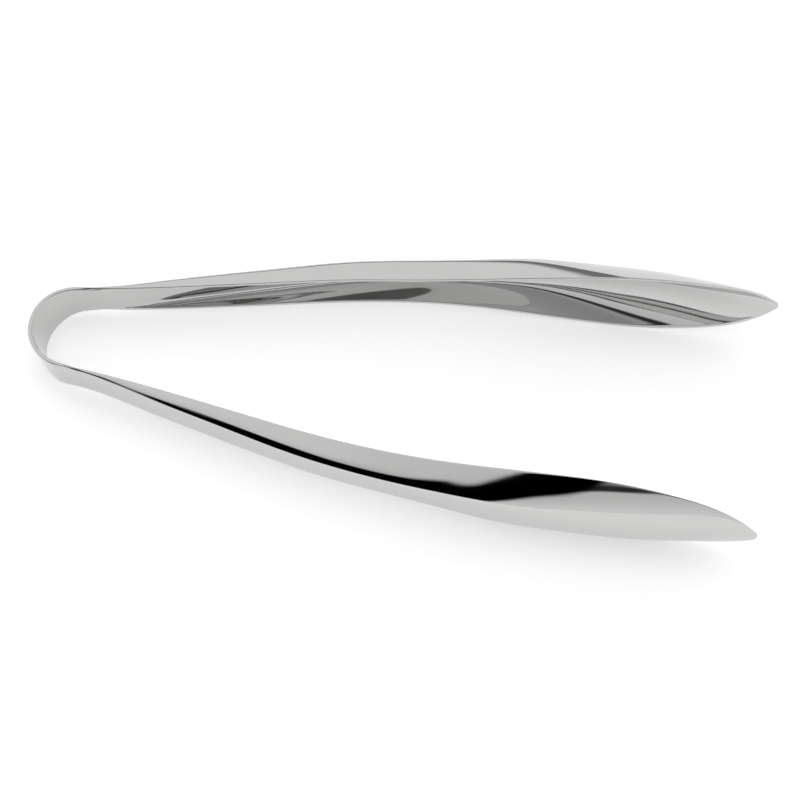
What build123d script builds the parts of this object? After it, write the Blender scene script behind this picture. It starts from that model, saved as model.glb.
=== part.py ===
from build123d import *
from math import cos, hypot, radians, sin, tan
import os

# Ice tongs: one strip of polished stainless steel, bent into a spring bow and pressed
# into two channel-shaped handles that open out into leaf-shaped scoops.
# The tongs lie on their side: +X from the bow to the tips, +Y across the opening towards
# the left arm, +Z up across the width of the strip. Millimetres.
# The strip is divided where its job changes: the bow flexes, the handles are held, and
# the scoops grip. The right arm is the mirror image of the left.

# Overall sizes
length = 175.0  # back of the bow to the tips
tip_gap = 57.2  # between the edges of the two scoops, at the tips
sheet = 1.0  # thickness of the steel

# Spring bow
bow_radius = 10.8  # outside
bow_width = 13.0  # at the back of the bow
leg_width = 11.0  # where the bow runs into the arms
splay = 8.0  # degrees that each leg leans outwards

# Handles: channels with their open side towards the other arm
handle_width = 11.6  # across the two edges of the channel
web_width = 9.8  # across the two outer ridges, at the middle of the handle
channel_depth = 6.5  # outside, at the middle of the handle
handle_gap = 41.0  # between the edges of the two channels, at the middle of the handles
rear_inset = 4.4  # how much nearer the middle plane each edge is at the rear of the handle

# Throats, where each channel becomes a scoop
throat_width = 14.6  # across the two edges
throat_web_width = 10.7  # across the two outer ridges
throat_depth = 7.4  # outside
throat_inset = 2.0  # how much nearer the middle plane each edge is than at the widest place

# Scoops: shallow leaf-shaped bowls
leaf_width = 24.8
bowl_depth = 8.4  # outside
leaf_gap = 50.4  # between the edges of the two scoops, at their widest
shoulder_flare = 1.4  # how much further from the middle plane each edge is at the shoulder
nose_width = 2.0  # of the blunt point

# Stations along the arm, as shares of the way from the end of the bow to the tip
FLAT_END = 0.04  # the strip is still flat here
CREASE = 0.12  # where the channel's ridges start to show
REAR = 0.25  # the rear of the handle
MIDDLE = 0.41  # the middle of the handle
GRIP_END = 0.47  # where the channel has been one width up to
THROAT = 0.58  # where the channel starts to open out, and handle and scoop meet
DEEPEST = 0.68
WIDEST = 0.81
SHOULDER = 0.92  # where the leaf has started to narrow towards its point
POINT = 0.975  # where its sides turn in to the blunt point
TIP = 1.0

mid = leaf_width / 2  # height of the tongs' middle plane over what they lie on
back = -length / 2  # x of the back of the bow
tip = length / 2  # x of the tips

# The strip leaves the bow's arc here, leaning outwards by the splay
turn = radians(90 - splay)
bow_centre = back + bow_radius
leg_x = bow_centre - bow_radius * cos(turn)
leg_y = bow_radius * sin(turn)
arm_run = tip - leg_x


def along(share):
    """The x of a station on the arm."""
    return leg_x + share * arm_run


def leaning(share):
    """The y of the strip's inner face, where it still runs straight on from the bow."""
    return leg_y - sheet + share * arm_run * tan(radians(splay))


def pressed(share_of_full, full_depth):
    """An outside depth that is part of the way from the flat sheet to the full depth."""
    return sheet + share_of_full * (full_depth - sheet)


def smooth(knots, share):
    """A smooth curve through (share, value) pairs that rises and falls only as they do."""
    pairs = list(zip(knots, knots[1:]))
    rises = [(v1 - v0) / (s1 - s0) for (s0, v0), (s1, v1) in pairs]
    slopes = [rises[0]]
    for before, after in zip(rises, rises[1:]):
        same_way = before * after > 0
        slopes.append(2 * before * after / (before + after) if same_way else 0.0)
    slopes.append(rises[-1])
    i = max(k for k in range(len(pairs)) if share >= knots[k][0])
    (s0, v0), (s1, v1) = pairs[i]
    span = s1 - s0
    t = (share - s0) / span
    ease = t * t * (3 - 2 * t)
    start_pull = t * (1 - t) ** 2 * slopes[i] * span
    end_pull = t * t * (1 - t) * slopes[i + 1] * span
    return v0 + (v1 - v0) * ease + start_pull - end_pull


# Half of the opening between the arms, at the channel's and the scoop's edges
edge_line = [
    (0.0, leaning(0.0)),
    (FLAT_END, leaning(FLAT_END)),
    (CREASE, leaning(CREASE)),
    (REAR, handle_gap / 2 - rear_inset),
    (MIDDLE, handle_gap / 2),
    (THROAT, leaf_gap / 2 - throat_inset),
    (WIDEST, leaf_gap / 2),
    (SHOULDER, leaf_gap / 2 + shoulder_flare),
    (TIP, tip_gap / 2),
]
# Outside depth of the pressing, from its edges to its back
depth_line = [
    (0.0, sheet),
    (FLAT_END, sheet),
    (CREASE, pressed(0.34, channel_depth)),
    (REAR, pressed(0.7, channel_depth)),
    (MIDDLE, channel_depth),
    (THROAT, throat_depth),
    (DEEPEST, bowl_depth),
    (WIDEST, pressed(0.89, bowl_depth)),
    (SHOULDER, pressed(0.44, bowl_depth)),
    (TIP, sheet),
]
# Width across the edges
width_line = [
    (0.0, leg_width),
    (REAR, handle_width),
    (GRIP_END, handle_width),
    (THROAT, throat_width),
    (DEEPEST, 0.8 * leaf_width),
    (WIDEST, leaf_width),
    (SHOULDER, 0.83 * leaf_width),
    (POINT, 0.49 * leaf_width),
    (TIP, nose_width),
]
# Width across the ridges, as a share of the width across the edges
web_line = [
    (0.0, 1.0),
    (CREASE, 0.985),
    (MIDDLE, web_width / handle_width),
    (THROAT, throat_web_width / throat_width),
    (DEEPEST, 0.8),
    (WIDEST, 1.0),
    (TIP, 1.0),
]
# How square the section is: 2 is an ellipse, and a high number has tight corners
squareness_line = [
    (0.0, 16.0),
    (CREASE, 7.0),
    (REAR, 6.0),
    (MIDDLE, 11.0),
    (THROAT - 0.04, 13.0),
    (THROAT + 0.03, 9.0),
    (DEEPEST - 0.02, 4.5),
    (DEEPEST + 0.04, 2.8),
    (WIDEST, 2.1),
    (TIP, 2.1),
]
# Degrees that the section turns through from its back to each edge: a channel's sides end square
# to its back, and the front of the bowl is a shallow dish
wrap_line = [
    (0.0, 90.0),
    (DEEPEST - 0.03, 90.0),
    (DEEPEST + 0.06, 70.0),
    (WIDEST, 48.0),
    (TIP, 46.0),
]

SECTION_POINTS = 29
FINE_STEPS = 60


def half_round(edge, depth, width, web, squareness, wrap):
    """Points, evenly spaced, from edge to edge round the back of one section."""
    fine = []
    edge_across = sin(radians(wrap)) ** (2 / squareness)
    edge_out = cos(radians(wrap)) ** (2 / squareness)
    for step in range(-FINE_STEPS, FINE_STEPS + 1):
        angle = radians(wrap) * step / FINE_STEPS
        across = abs(sin(angle)) ** (2 / squareness) / edge_across
        out = (cos(angle) ** (2 / squareness) - edge_out) / (1 - edge_out)
        z = across * width / 2 * (1 - (1 - web) * out)
        fine.append((edge + depth * out, z if step > 0 else -z))
    runs = [0.0]
    for (y0, z0), (y1, z1) in zip(fine, fine[1:]):
        runs.append(runs[-1] + hypot(y1 - y0, z1 - z0))
    points = []
    for k in range(SECTION_POINTS):
        want = runs[-1] * k / (SECTION_POINTS - 1)
        i = max(j for j in range(len(runs) - 1) if runs[j] <= want)
        part = (want - runs[i]) / (runs[i + 1] - runs[i])
        (y0, z0), (y1, z1) = fine[i], fine[i + 1]
        points.append(Vector(y0 + part * (y1 - y0), mid + z0 + part * (z1 - z0)))
    return points


def section_at(share, wall):
    """The back of the section at a station, moved inwards by a wall."""
    depth = smooth(depth_line, share) - wall
    width = smooth(width_line, share) - 2 * wall
    web, squareness = smooth(web_line, share), smooth(squareness_line, share)
    wrap = smooth(wrap_line, share)
    return half_round(smooth(edge_line, share), max(depth, LEAST), width, web, squareness, wrap)


# Sections that the arm's outside is drawn through, and those of the tool that hollows it.
# The tool starts where the strip has begun to deepen, and runs out short of the tip.
OUTSIDE_STATIONS = [
    0.0, 0.06, 0.12, 0.19, 0.27, 0.35, 0.43, 0.5, 0.56, 0.62, 0.68,
    0.74, 0.8, 0.86, 0.91, 0.95, 0.98, 1.0,
]
HOLLOW_STATIONS = [
    0.06, 0.1, 0.15, 0.21, 0.28, 0.36, 0.44, 0.5, 0.56, 0.62, 0.68,
    0.74, 0.8, 0.86, 0.91, 0.955,
]
CLEAR = 6.0  # how far the hollowing tool stands out of the open side
LEAST = 0.05  # depth of the hollow where it starts and ends

even = [k / (SECTION_POINTS - 1) for k in range(SECTION_POINTS)]

# One whole arm, which is then divided at the throat
with BuildPart() as arm:
    for share in OUTSIDE_STATIONS:
        with BuildSketch(Plane.YZ.offset(along(share))):
            with BuildLine():
                outside = section_at(share, 0)
                add(Edge.make_spline(outside, parameters=even))
                Line(outside[-1], outside[0])
            make_face()
    loft()
    for share in HOLLOW_STATIONS:
        with BuildSketch(Plane.YZ.offset(along(share))):
            with BuildLine():
                hollow = section_at(share, sheet)
                add(Edge.make_spline(hollow, parameters=even))
                low, high = hollow[0], hollow[-1]
                Polyline(high, (high.X - CLEAR, high.Y), (low.X - CLEAR, low.Y), low)
            make_face()
    loft(mode=Mode.SUBTRACT)

with BuildPart() as left_handle:
    add(arm.part)
    split(bisect_by=Plane.YZ.offset(along(THROAT)), keep=Keep.BOTTOM)

with BuildPart() as left_scoop:
    add(arm.part)
    split(bisect_by=Plane.YZ.offset(along(THROAT)), keep=Keep.TOP)

with BuildPart() as right_handle:
    add(left_handle.part.mirror(Plane.XZ))

with BuildPart() as right_scoop:
    add(left_scoop.part.mirror(Plane.XZ))

# The bow is a half-round bend of the flat strip, which narrows from its back to its legs
with BuildPart() as spring_bow:
    with BuildSketch():
        with Locations((bow_centre, 0)):
            Circle(bow_radius)
            Circle(bow_radius - sheet, mode=Mode.SUBTRACT)
        with Locations((leg_x + bow_radius, 0)):
            Rectangle(2 * bow_radius, 4 * bow_radius, mode=Mode.SUBTRACT)
    extrude(amount=2 * mid)
    with BuildSketch(Plane.XZ):
        with BuildLine():
            upper = Spline(
                (back, mid + bow_width / 2),
                (leg_x, mid + leg_width / 2),
                tangents=[(1, 0), (1, 0)],
            )
            lower = Spline(
                (leg_x, mid - leg_width / 2),
                (back, mid - bow_width / 2),
                tangents=[(-1, 0), (-1, 0)],
            )
            Line(upper @ 1, lower @ 0)
            Line(lower @ 1, upper @ 0)
        make_face()
    extrude(amount=2 * bow_radius, both=True, mode=Mode.INTERSECT)

os.makedirs("parts", exist_ok=True)
spring_bow.part.label = "spring_bow"
left_handle.part.label = "left_handle"
right_handle.part.label = "right_handle"
left_scoop.part.label = "left_scoop"
right_scoop.part.label = "right_scoop"
for piece in (spring_bow, left_handle, right_handle, left_scoop, right_scoop):
    export_step(piece.part, f"parts/{piece.part.label}.step")
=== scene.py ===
import bmesh
import bpy
from math import atan2, cos, hypot, pi, radians, sin
from mathutils import Matrix, Vector


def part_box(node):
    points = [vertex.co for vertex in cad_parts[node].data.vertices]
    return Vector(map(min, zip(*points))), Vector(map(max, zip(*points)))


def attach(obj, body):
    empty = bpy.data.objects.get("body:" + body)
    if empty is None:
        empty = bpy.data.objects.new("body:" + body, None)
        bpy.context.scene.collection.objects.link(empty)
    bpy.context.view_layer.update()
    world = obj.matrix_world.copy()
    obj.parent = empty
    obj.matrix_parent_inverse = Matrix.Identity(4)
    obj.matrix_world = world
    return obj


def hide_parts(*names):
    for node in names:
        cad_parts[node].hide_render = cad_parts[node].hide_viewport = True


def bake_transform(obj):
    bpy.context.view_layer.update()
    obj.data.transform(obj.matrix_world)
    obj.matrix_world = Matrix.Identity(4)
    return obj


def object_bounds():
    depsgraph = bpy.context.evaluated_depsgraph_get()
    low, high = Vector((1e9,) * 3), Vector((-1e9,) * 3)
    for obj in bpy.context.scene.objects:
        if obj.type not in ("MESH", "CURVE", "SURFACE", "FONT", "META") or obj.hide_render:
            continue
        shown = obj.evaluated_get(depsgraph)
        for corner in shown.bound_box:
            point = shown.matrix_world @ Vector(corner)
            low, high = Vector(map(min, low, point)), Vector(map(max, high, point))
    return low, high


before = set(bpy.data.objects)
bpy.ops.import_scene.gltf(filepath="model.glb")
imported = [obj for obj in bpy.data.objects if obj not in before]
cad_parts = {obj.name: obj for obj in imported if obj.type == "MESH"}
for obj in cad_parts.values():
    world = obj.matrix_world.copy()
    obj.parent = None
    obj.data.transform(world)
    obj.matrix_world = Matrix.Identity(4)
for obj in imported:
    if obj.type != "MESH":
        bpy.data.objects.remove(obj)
cad_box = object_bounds()

# The bend of the spring bow.
# The whole tool is one strip of 1 mm stainless steel, blanked out flat and bent cold round a mandrel at its
# middle. There the strip stays flat, so that it flexes, and is widest, because that is where it works.
MM = 0.001
SHEET = 1.0 * MM
BACK_OF_BOW, BOTTOM_OF_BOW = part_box("spring_bow")[0].x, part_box("spring_bow")[0].z
LEG_X, TOP_OF_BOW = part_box("spring_bow")[1].x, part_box("spring_bow")[1].z
MID = (BOTTOM_OF_BOW + TOP_OF_BOW) / 2  # height of the middle line of the strip
BOW_WIDTH = TOP_OF_BOW - BOTTOM_OF_BOW
LEG_WIDTH = 11.0 * MM
BOW_RADIUS = 10.8 * MM
SPLAY = radians(8)  # each leg leans out by this where it leaves the bow
LEG_Y = BOW_RADIUS * cos(SPLAY)
BOW_STEPS = 6
HALF_RING = 17  # points round the outside of the strip's section, and as many round its inside
RIM_LOOP = 0.4 * MM  # from each rim to the points that keep it crisp


def eased(share):
    """A share of the way that starts and ends gently."""
    return share * share * (3 - 2 * share)


bpy.ops.object.select_all(action="DESELECT")
bpy.ops.mesh.primitive_circle_add(vertices=2 * HALF_RING, radius=BOW_RADIUS)
tongs = bpy.context.object
tongs.name = "tongs"
flat_step = (LEG_WIDTH - 2 * RIM_LOOP) / (HALF_RING - 3)
heights = [-LEG_WIDTH / 2]
heights += [flat_step * k - LEG_WIDTH / 2 + RIM_LOOP for k in range(HALF_RING - 2)]
heights += [LEG_WIDTH / 2]
first_ring = [(BACK_OF_BOW, 0, MID + z) for z in heights]
first_ring += [(BACK_OF_BOW + SHEET, 0, MID + z) for z in reversed(heights)]
for vertex, point in zip(tongs.data.vertices, first_ring):
    vertex.co = point
bpy.ops.object.mode_set(mode="EDIT")
bpy.ops.mesh.select_all(action="SELECT")
centre_of_bow = (BACK_OF_BOW + BOW_RADIUS, 0, 0)
bpy.ops.mesh.spin(steps=BOW_STEPS, angle=pi / 2 - SPLAY, center=centre_of_bow, axis=(0, 0, 1))
strip = bmesh.from_edit_mesh(tongs.data)
for vertex in strip.verts:
    along_bow = (vertex.co.x - BACK_OF_BOW) / (LEG_X - BACK_OF_BOW)
    width = BOW_WIDTH + (LEG_WIDTH - BOW_WIDTH) * eased(along_bow)
    vertex.co.z = MID + (vertex.co.z - MID) * width / LEG_WIDTH

# The pressing of the handle.
# From the bow the strip runs forward and outward, and a die presses it into a channel that deepens along the
# arm. The channel's back is squarish, and its two rims turn towards the other arm.
TIP_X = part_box("left_scoop")[1].x
THROAT = 0.58  # share of the arm at which the channel opens out into the scoop
WIDEST = 0.81  # and at which the scoop is widest
THICKEST_WALL = 0.55  # of half the width, where the strip narrows to its point
THINNEST_HOLLOW = 0.004  # millimetres deep, where the inside is flat
FINE_STEPS = 90  # from the middle of the section to each rim, when its outline is measured
HANDLE_STATIONS = [0.04, 0.085, 0.13, 0.18, 0.23, 0.285, 0.34, 0.395, 0.45, 0.5, 0.545]

# what the die gives at each share of the arm: places and sizes in millimetres, angles in degrees
rim_line = [
    (0, LEG_Y / MM - 1), (0.04, LEG_Y / MM - 0.07), (0.12, LEG_Y / MM + 1.79), (0.25, 16.1), (0.41, 20.5),
    (THROAT, 23.2), (WIDEST, 25.2), (0.92, 26.6), (1, 28.6),
]
depth_line = [
    (0, 1), (0.04, 1), (0.12, 2.87), (0.25, 4.85), (0.41, 6.5), (THROAT, 7.4), (0.68, 8.4), (WIDEST, 7.59),
    (0.92, 4.26), (1, 1),
]
half_width_line = [
    (0, 5.5), (0.25, 5.8), (0.47, 5.8), (THROAT, 7.32), (0.68, 9.92), (WIDEST, 12.4), (0.92, 10.29),
    (0.975, 6.08), (1, 1),
]
back_line = [(0, 1), (0.12, 0.985), (0.41, 0.845), (THROAT, 0.73), (0.68, 0.8), (WIDEST, 1), (1, 1)]
squareness_line = [
    (0, 16), (0.12, 7), (0.25, 6), (0.41, 11), (0.54, 13), (0.61, 9), (0.66, 4.5), (0.72, 2.8),
    (WIDEST, 2.1), (1, 2.1),
]
wrap_line = [(0, 90), (0.65, 90), (0.74, 70), (WIDEST, 48), (1, 46)]


def smooth(knots, share):
    """A smooth curve through (share, value) pairs that rises and falls only as they do."""
    pairs = list(zip(knots, knots[1:]))
    rises = [(v1 - v0) / (s1 - s0) for (s0, v0), (s1, v1) in pairs]
    slopes = [rises[0]]
    for before, after in zip(rises, rises[1:]):
        slopes.append(2 * before * after / (before + after) if before * after > 0 else 0.0)
    slopes.append(rises[-1])
    i = max(k for k in range(len(pairs)) if share >= knots[k][0])
    (s0, v0), (s1, v1) = pairs[i]
    t = (share - s0) / (s1 - s0)
    pulls = t * (1 - t) ** 2 * slopes[i] - t * t * (1 - t) * slopes[i + 1]
    return v0 + (v1 - v0) * eased(t) + pulls * (s1 - s0)


def round_back(rim_y, depth, half_width, back, squareness, wrap):
    """Points (y, z) from rim to rim round one face of the section, closer together at the rims."""
    fine = []
    rim_across = sin(radians(wrap)) ** (2 / squareness)
    rim_out = cos(radians(wrap)) ** (2 / squareness)
    for step in range(-FINE_STEPS, FINE_STEPS + 1):
        angle = radians(wrap * step / FINE_STEPS)
        across = abs(sin(angle)) ** (2 / squareness) / rim_across
        out = (cos(angle) ** (2 / squareness) - rim_out) / (1 - rim_out)
        z = across * half_width * (1 - (1 - back) * out)
        fine.append((rim_y + depth * out, z if step > 0 else -z))
    runs = [0.0]
    for (y0, z0), (y1, z1) in zip(fine, fine[1:]):
        runs.append(runs[-1] + hypot(y1 - y0, z1 - z0))
    rim = min(RIM_LOOP / MM, runs[-1] / HALF_RING)
    steps = HALF_RING - 3
    wanted = [0, rim] + [runs[-1] * k / steps for k in range(1, steps)] + [runs[-1] - rim, runs[-1]]
    points = []
    for want in wanted:
        i = max(j for j in range(len(runs) - 1) if runs[j] <= want)
        part = (want - runs[i]) / (runs[i + 1] - runs[i])
        (y0, z0), (y1, z1) = fine[i], fine[i + 1]
        points.append((y0 + part * (y1 - y0), z0 + part * (z1 - z0)))
    return points


def section(share):
    """The ring of points round the steel at one place on the arm, its outside first."""
    rim_y, depth = smooth(rim_line, share), smooth(depth_line, share)
    half_width, back = smooth(half_width_line, share), smooth(back_line, share)
    squareness, wrap = smooth(squareness_line, share), smooth(wrap_line, share)
    wall = min(SHEET / MM, THICKEST_WALL * half_width)
    outside = round_back(rim_y, depth, half_width, back, squareness, wrap)
    hollow = max(depth - SHEET / MM, THINNEST_HOLLOW)
    inside = round_back(rim_y, hollow, half_width - wall, back, squareness, wrap)
    x = LEG_X + share * (TIP_X - LEG_X)
    return [Vector((x, y * MM, MID + z * MM)) for y, z in outside + inside[::-1]]


def draw_out(stations):
    """Extrudes the ring that is selected from station to station, and presses it at each."""
    for share in stations:
        strip = bmesh.from_edit_mesh(tongs.data)
        pressed = section(share)
        step = pressed[0].x - max(v.co.x for v in strip.verts if v.select)
        bpy.ops.mesh.extrude_region_move(TRANSFORM_OT_translate={"value": (step, 0, 0)})
        strip = bmesh.from_edit_mesh(tongs.data)
        ring = sorted((v for v in strip.verts if v.select), key=lambda v: v.index)
        for vertex, point in zip(ring, pressed):
            vertex.co = point
        bmesh.update_edit_mesh(tongs.data)


draw_out(HANDLE_STATIONS)

# The pressing of the scoop.
# The strip widens here into a pointed leaf, dished by the same die into a deep bowl that is open towards the
# other arm. The outside and the inside of the sheet meet at the point.
SCOOP_STATIONS = [0.59, 0.635, 0.68, 0.725, 0.77, 0.815, 0.86, 0.9, 0.935, 0.965, 0.985, 1.0]
draw_out(SCOOP_STATIONS)
strip = bmesh.from_edit_mesh(tongs.data)
last = sorted((v for v in strip.verts if v.select), key=lambda v: v.index)
bpy.ops.mesh.select_all(action="DESELECT")
for face_of_sheet in (last[:HALF_RING], last[HALF_RING:]):
    for a, b in zip(face_of_sheet, face_of_sheet[1:]):
        strip.edges.get((a, b)).select_set(True)
bmesh.update_edit_mesh(tongs.data)
bpy.ops.mesh.bridge_edge_loops()
bpy.ops.mesh.select_all(action="SELECT")
bpy.ops.mesh.normals_make_consistent(inside=False)
bpy.ops.object.mode_set(mode="OBJECT")

# The whole blank.
# The strip is the same on both sides of the bow. Tumbling rounds the sheared rims, and polishing takes the
# marks of the die out of the faces, so the whole surface is smooth.
RIM_PLACES = (0, HALF_RING - 1, HALF_RING, 2 * HALF_RING - 1)  # in each ring of points
SMOOTHING = 3  # times that each face is divided in four
MERGED = 0.001 * MM  # points closer than this on both sides are one
SLIVER = 0.0001 * MM  # and closer than this to a plane, they lie in it
cut_edge = tongs.data.attributes.new("cut_edge", "FLOAT", "POINT")
for vertex in tongs.data.vertices:
    cut_edge.data[vertex.index].value = float(vertex.index % (2 * HALF_RING) in RIM_PLACES)
other_arm = tongs.modifiers.new("other_arm", "MIRROR")
other_arm.use_axis = (False, True, False)
other_arm.merge_threshold = MERGED
polishing = tongs.modifiers.new("polishing", "SUBSURF")
polishing.levels = polishing.render_levels = SMOOTHING
for name in ("other_arm", "polishing"):
    bpy.ops.object.modifier_apply(modifier=name)

# the loop across the back of the bow goes, so that the strip is flat where it is divided
bpy.ops.object.mode_set(mode="EDIT")
bpy.ops.mesh.select_all(action="DESELECT")
strip = bmesh.from_edit_mesh(tongs.data)
for edge in strip.edges:
    edge.select_set(all(abs(v.co.y) < SLIVER for v in edge.verts))
bmesh.update_edit_mesh(tongs.data)
bpy.ops.mesh.dissolve_edges()
bpy.ops.mesh.select_all(action="SELECT")
bpy.ops.mesh.normals_make_consistent(inside=False)
bpy.ops.object.mode_set(mode="OBJECT")

# The polish.
# The steel is polished to a mirror on a felt wheel, lengthways, which leaves very fine lines along the arms.
# A faint unevenness is left from the die. Use adds a few hairlines and dull smears. The rims are duller.
STEEL = {"Red": 0.566, "Green": 0.566, "Blue": 0.56}
SMEAR_SHADE, HAIRLINE_SHADE = 0.02, 0.012
CLEAN_ROUGHNESS = 0.035
LINES_ROUGHEN, SMEARS_ROUGHEN, HAIRLINES_ROUGHEN, RIMS_ROUGHEN = 0.02, 0.03, 0.03, 0.08
MICRON = 0.001 * MM
UNEVEN_MICRONS, LINE_MICRONS = 10, 0.12


class Field:
    """A number that varies over a surface, or with direction, on which expressions can be written."""

    def __init__(self, tree, socket=None):
        self.tree = tree
        self.socket = socket

    def node(self, kind, settings, inputs, output=0):
        """The output of a new node: its settings come first, then the values or links of its sockets."""
        made = self.tree.nodes.new(kind)
        for name, setting in settings.items():
            setattr(made, name, setting)
        for name, value in inputs.items():
            if isinstance(value, Field):
                self.tree.links.new(value.socket, made.inputs[name])
            else:
                made.inputs[name].default_value = value
        return Field(self.tree, made.outputs[output])

    def math(self, operation, *numbers):
        return self.node("ShaderNodeMath", {"operation": operation}, dict(enumerate(numbers)))

    def __add__(self, other):
        return self.math("ADD", self, other)

    def __sub__(self, other):
        return self.math("SUBTRACT", self, other)

    def __rsub__(self, other):
        return self.math("SUBTRACT", other, self)

    def __mul__(self, other):
        return self.math("MULTIPLY", self, other)

    __radd__ = __add__
    __rmul__ = __mul__

    def rise(self, low, high):
        """0 below low, 1 above high, and smooth between them."""
        inputs = {"Value": self, "From Min": low, "From Max": high}
        return self.node("ShaderNodeMapRange", {"interpolation_type": "SMOOTHSTEP"}, inputs)


steel = bpy.data.materials.new("polished_steel")
steel.use_nodes = True
surface = Field(steel.node_tree)
mirror_finish = steel.node_tree.nodes["Principled BSDF"]
mirror_finish.inputs["Metallic"].default_value = 1.0
place = surface.node("ShaderNodeTexCoord", {}, {}, "Object")


def marks(stretch, detail, turned=(0, 0, 0)):
    """Noise on the steel, with so many marks to the metre each way."""
    laid = {"Vector": place, "Rotation": turned}
    along = surface.node("ShaderNodeMapping", {"vector_type": "TEXTURE"}, laid)
    scaled = surface.node("ShaderNodeVectorMath", {"operation": "MULTIPLY"}, {0: along, 1: stretch})
    return surface.node("ShaderNodeTexNoise", {}, {"Vector": scaled, "Scale": 1.0, "Detail": detail})


wheel_lines = marks((40, 2600, 2600), 2)
unevenness = marks((70, 130, 130), 1)
smears = marks((45, 90, 90), 3)
hairlines = marks((22, 3200, 500), 0, (0, radians(7), radians(14))).rise(0.74, 0.80)
rim = surface.node("ShaderNodeAttribute", {"attribute_name": "cut_edge"}, {}, "Fac").rise(0.3, 0.9)
dull = smears.rise(0.5, 0.72)
roughness = CLEAN_ROUGHNESS + LINES_ROUGHEN * wheel_lines + SMEARS_ROUGHEN * dull
roughness = roughness + HAIRLINES_ROUGHEN * hairlines + RIMS_ROUGHEN * rim
tone = SMEAR_SHADE * (smears - dull) - HAIRLINE_SHADE * hairlines
shades = {name: share + tone for name, share in STEEL.items()}
colour = surface.node("ShaderNodeCombineColor", {}, shades)
microns = UNEVEN_MICRONS * unevenness + LINE_MICRONS * wheel_lines
pressed_in = {"Height": microns, "Strength": 1.0, "Distance": MICRON}
relief = surface.node("ShaderNodeBump", {}, pressed_in, "Normal")
for name, varied in (("Roughness", roughness), ("Base Color", colour), ("Normal", relief)):
    steel.node_tree.links.new(varied.socket, mirror_finish.inputs[name])

# The spring bow.
# The flat bend at the back of the tool, in two halves that meet at its middle. It has no joint in it: the
# steel itself gives way. Here the two halves stay fixed and follow neither arm.
CREASE_ANGLE = radians(40)  # a sharper edge than this is not shaded smooth


def cut_off(name, side, first_x=None, last_x=None):
    """One closed piece of the smooth tool, on one side of it and between two places along it."""
    bpy.ops.object.select_all(action="DESELECT")
    piece = tongs.copy()
    piece.data = tongs.data.copy()
    piece.name = piece.data.name = name
    bpy.context.collection.objects.link(piece)
    piece.select_set(True)
    bpy.context.view_layer.objects.active = piece
    planes = [((0, 0, 0), (0, 1 if side == "left" else -1, 0))]
    if first_x is not None:
        planes.append(((first_x, 0, 0), (1, 0, 0)))
    if last_x is not None:
        planes.append(((last_x, 0, 0), (-1, 0, 0)))
    bpy.ops.object.mode_set(mode="EDIT")
    for at, kept_way in planes:
        bpy.ops.mesh.select_all(action="SELECT")
        bpy.ops.mesh.bisect(
            plane_co=at, plane_no=kept_way, use_fill=True, clear_inner=True, threshold=SLIVER
        )
    bpy.ops.object.mode_set(mode="OBJECT")
    bpy.ops.object.shade_smooth_by_angle(angle=CREASE_ANGLE)
    piece.data.materials.append(steel)
    return piece


left_bow = cut_off("left_bow", "left", last_x=LEG_X)
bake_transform(left_bow)
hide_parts("spring_bow")
right_bow = cut_off("right_bow", "right", last_x=LEG_X)
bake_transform(right_bow)
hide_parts("spring_bow")

# The handles.
# The two channels that the fingers squeeze, from the bow to the throat. They are one with the bow and with
# the scoops, so nothing fastens them.
THROAT_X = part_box("left_scoop")[0].x
for side in ("left", "right"):
    handle = cut_off(f"{side}_handle_skin", side, LEG_X, THROAT_X)
    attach(handle, f"{side}_arm")
    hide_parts(f"{side}_handle")

# The scoops.
# The two leaf-shaped bowls that hold the ice, at the ends of the same strip. They are hollow towards each
# other, with thin rims that bite on the cube.
for side in ("left", "right"):
    scoop = cut_off(f"{side}_scoop_skin", side, THROAT_X)
    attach(scoop, f"{side}_arm")
    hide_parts(f"{side}_scoop")
bpy.data.objects.remove(tongs)

# The table.
# A board covered with plain white paper, and lit from inside, so that shadows on it stay faint. The tongs
# lie on the lower edges of the bow and of the wider scoops, so the board slopes down towards the scoops.
PAPER = {
    "Base Color": (0.8, 0.8, 0.8, 1),
    "Roughness": 0.9,
    "Specular IOR Level": 0.1,
    "Emission Color": (1, 1, 1, 1),
    "Emission Strength": 0.4,
}
TABLE_SIZE = 3.0
WIDEST_X = LEG_X + WIDEST * (TIP_X - LEG_X)
BOTTOM_OF_SCOOPS = cad_box[0][2]
slope = atan2(BOTTOM_OF_BOW - BOTTOM_OF_SCOOPS, WIDEST_X - BACK_OF_BOW)
resting_place = (WIDEST_X, 0, BOTTOM_OF_SCOOPS)
bpy.ops.mesh.primitive_plane_add(size=TABLE_SIZE, location=resting_place, rotation=(0, slope, 0))
table = bpy.context.object
table.name = "table"
paper = bpy.data.materials.new("white_paper")
paper.use_nodes = True
for name, value in PAPER.items():
    paper.node_tree.nodes["Principled BSDF"].inputs[name].default_value = value
table.data.materials.append(paper)

# The tent and the light.
# A white tent with a round opening in its roof, for the camera, and a gap at the foot of its back wall. A
# tall black card at the left gives the steel its dark edges, and a wide lamp overhead lights the table.
OPENING_WAY = (0.1562, -0.3952, 0.9052)
WALLS = 0.99
FRONT_DIMS, OPENING_DIMS, GAP_DIMS, BAND_DIMS = 0.27, 0.52, 0.75, 0.95
LAMP_SIZE, LAMP_HEIGHT, LAMP_POWER = 1.2, 1.5, 4
world = bpy.data.worlds.new("tent")
bpy.context.scene.world = world
world.use_nodes = True
tent = Field(world.node_tree)
direction = tent.node("ShaderNodeTexCoord", {}, {}, "Generated")
x, y, z = (tent.node("ShaderNodeSeparateXYZ", {}, {"Vector": direction}, axis) for axis in "XYZ")

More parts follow.
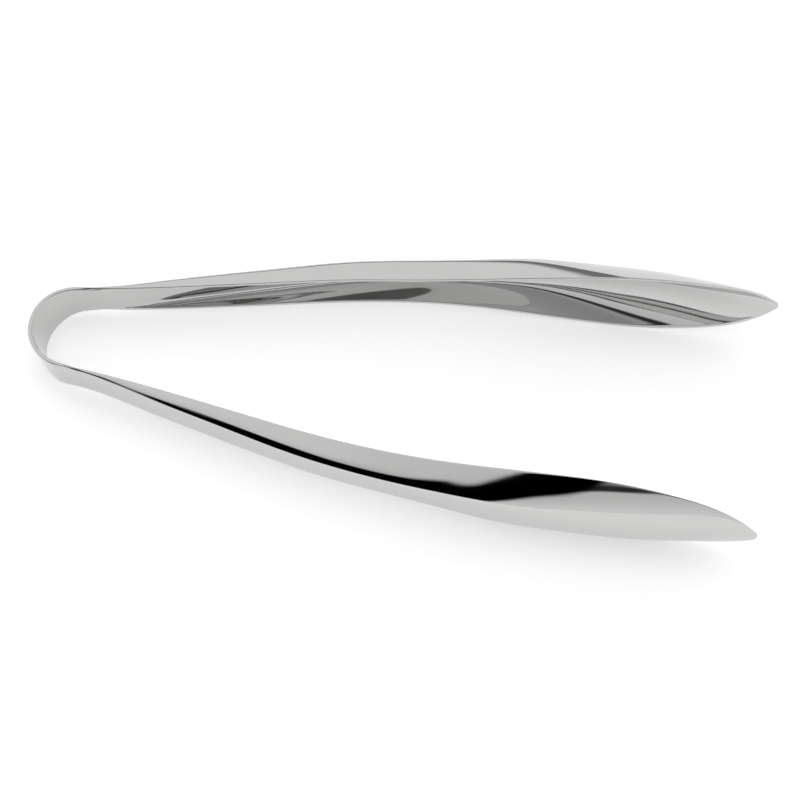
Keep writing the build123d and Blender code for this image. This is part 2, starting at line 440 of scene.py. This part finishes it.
# the card: its left side, its slanting top and its right side, then its place in front and its foot
below_top = (x - 0.7 * z).rise(-1.045, -1.005)
card = x.rise(-0.64, -0.56) * below_top * (1 - (x - 0.14 * z).rise(-0.28, -0.21))
card = card * (1 - y.rise(-0.22, -0.13)) * z.rise(0.0, 0.1)

# the opening, and the dark band along its front edge, which stops at the right and at the card's top
toward_opening = OPENING_WAY[0] * x + OPENING_WAY[1] * y + OPENING_WAY[2] * z
opening = toward_opening.rise(0.82, 0.97)
band = toward_opening.rise(0.825, 0.855) * (1 - toward_opening.rise(0.88, 0.92))
band = band * (1 - x.rise(0.35, 0.5)) * (1 - y.rise(-0.3, -0.2)) * below_top

# the gap at the foot of the back wall, and the front wall, which is dimmer towards its top
back_gap = (1 - z.rise(0.14, 0.3)) * y.rise(0.2, 0.6)
front = (1 - y.rise(-0.6, 0.5)) * z.rise(-0.15, 0.65)
bright = (WALLS - FRONT_DIMS * front) * (1 - OPENING_DIMS * opening) * (1 - GAP_DIMS * back_gap)
bright = bright * (1 - card) * (1 - BAND_DIMS * band)
seen = tent.node("ShaderNodeLightPath", {}, {}, "Is Camera Ray")
strength = seen + (1 - seen) * bright
world.node_tree.links.new(strength.socket, world.node_tree.nodes["Background"].inputs["Strength"])
world.node_tree.nodes["Background"].inputs["Color"].default_value = (1, 1, 1, 1)

lamp_data = bpy.data.lights.new("lamp", "AREA")
lamp_data.shape = "DISK"
lamp_data.size = LAMP_SIZE
lamp_data.energy = LAMP_POWER
lamp = bpy.data.objects.new("lamp", lamp_data)
lamp.location = (0, 0, LAMP_HEIGHT)
lamp.visible_glossy = False
bpy.context.collection.objects.link(lamp)

# The camera.
# It looks down on the tongs through the opening of the tent, from beside the scoops on the right arm's side,
# and is turned so that the tongs point to the right.
CAMERA_PLACE = Vector((0.06389, -0.15904, 0.34923 + MID))
RIGHT, UP, BACK = (0.9807, 0.1713, -0.0944), (-0.1177, 0.9025, 0.4143), OPENING_WAY
FOCAL_LENGTH, SENSOR_WIDTH = 74.63, 36
NEAREST_SEEN = 0.01
camera_data = bpy.data.cameras.new("camera")
camera_data.lens = FOCAL_LENGTH
camera_data.sensor_width = SENSOR_WIDTH
camera_data.clip_start = NEAREST_SEEN
camera = bpy.data.objects.new("camera", camera_data)
turn = Matrix((RIGHT, UP, BACK)).transposed().to_4x4()
camera.matrix_world = Matrix.Translation(CAMERA_PLACE) @ turn
bpy.context.collection.objects.link(camera)
bpy.context.scene.camera = camera
bpy.context.scene.view_settings.view_transform = "Standard"
